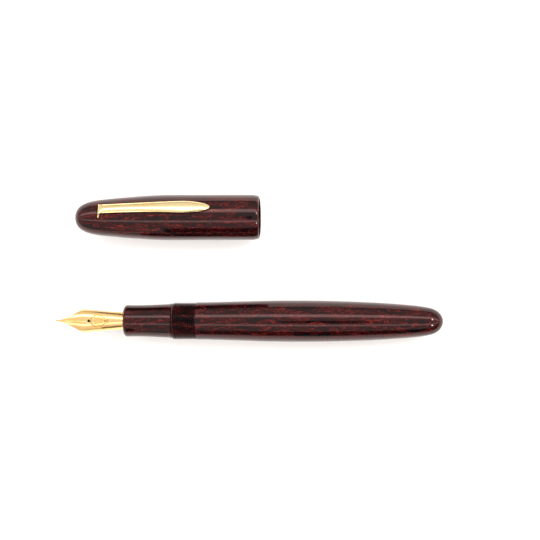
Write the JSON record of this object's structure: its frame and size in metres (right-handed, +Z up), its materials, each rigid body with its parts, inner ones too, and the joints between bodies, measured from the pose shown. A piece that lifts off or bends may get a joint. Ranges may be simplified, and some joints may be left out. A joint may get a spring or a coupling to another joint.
{
  "type": "fountain pen",
  "caption": "Uncapped cigar-shaped fountain pen with open gold nib, twist converter inside, and its screw cap with spring clip lying beside it.",
  "frame": {"origin": "middle of the bounding box at its base, on the surface that pen and cap lie on", "axes": "+X from the nib to the barrel's end, +Y from the pen towards the cap, +Z up"},
  "size_m": [0.1386, 0.0524, 0.0176],
  "materials": {
    "ebonite": "polished red and black marbled hard rubber",
    "liner": "turned black hard rubber",
    "gold": "gold plated, polished",
    "nib_gold": "solid gold, polished",
    "tipping": "ground hard alloy",
    "feed": "matt black hard rubber",
    "housing": "moulded black plastic",
    "seal": "soft rubber",
    "clear": "clear moulded plastic, coded as glass",
    "plated": "gold plated sleeve",
    "knob": "moulded, gloss"
  },
  "bodies": {
    "barrel": {"barrel": "ebonite"},
    "section_seal": {"section_o_ring": "seal"},
    "section": {"section": "ebonite", "nib_housing": "housing", "ink_inlet": "housing"},
    "nib_unit": {"nib": "nib_gold", "nib_tipping": "tipping", "feed": "feed"},
    "converter": {"converter_tube": "clear", "converter_band": "plated", "converter_guide": "housing"},
    "knob": {"converter_knob": "knob", "converter_drive_nut": "housing"},
    "piston": {"piston_rod": "housing", "piston_head": "housing", "piston_seal": "seal"},
    "inner_cap": {"inner_cap": "liner"},
    "cap": {"cap_shell": "ebonite", "clip_keeper": "liner"},
    "clip": {"clip": "gold"}
  },
  "joints": [
    {"name": "cap_slide", "type": "slide", "parent": "barrel", "child": "inner_cap", "axis": [-0.9478, -0.3188, -0.0063], "range_m": [0, 0.11606]},
    {"name": "cap_turn", "type": "hinge", "parent": "inner_cap", "child": "cap", "pos_m": [-0.06205, 0.01813, 0.0081], "axis": [-1, 0, 0], "continuous": true},
    {"name": "clip_flex", "type": "hinge", "parent": "cap", "child": "clip", "pos_m": [-0.05288, 0.02029, 0.01316], "axis": [0, -0.9198, 0.3923], "range_deg": [0, 4], "stiffness_Nm_per_rad": 0.05},
    {"name": "section_slide", "type": "slide", "parent": "barrel", "child": "section_seal", "axis": [-1, 0, 0], "range_m": [0, 0.005]},
    {"name": "section_turn", "type": "hinge", "parent": "section_seal", "child": "section", "pos_m": [-0.0445, -0.01886, 0.00737], "axis": [-1, 0, 0], "range_deg": [0, 1800]},
    {"name": "nib_pull", "type": "slide", "parent": "section", "child": "nib_unit", "axis": [-1, 0, 0], "range_m": [0, 0.02]},
    {"name": "converter_pull", "type": "slide", "parent": "section", "child": "converter", "axis": [1, 0, 0], "range_m": [0, 0.006]},
    {"name": "knob_turn", "type": "hinge", "parent": "converter", "child": "knob", "pos_m": [0, -0.01886, 0.00737], "axis": [-1, 0, 0], "range_deg": [0, 1440]},
    {"name": "piston_slide", "type": "slide", "parent": "converter", "child": "piston", "axis": [1, 0, 0], "range_m": [0, 0.022]}
  ],
  "couplings": [
    {"joint": "section_turn", "follows": "section_slide", "rad_per_m": 6283.2},
    {"joint": "knob_turn", "follows": "piston_slide", "rad_per_m": 1142.4}
  ]
}
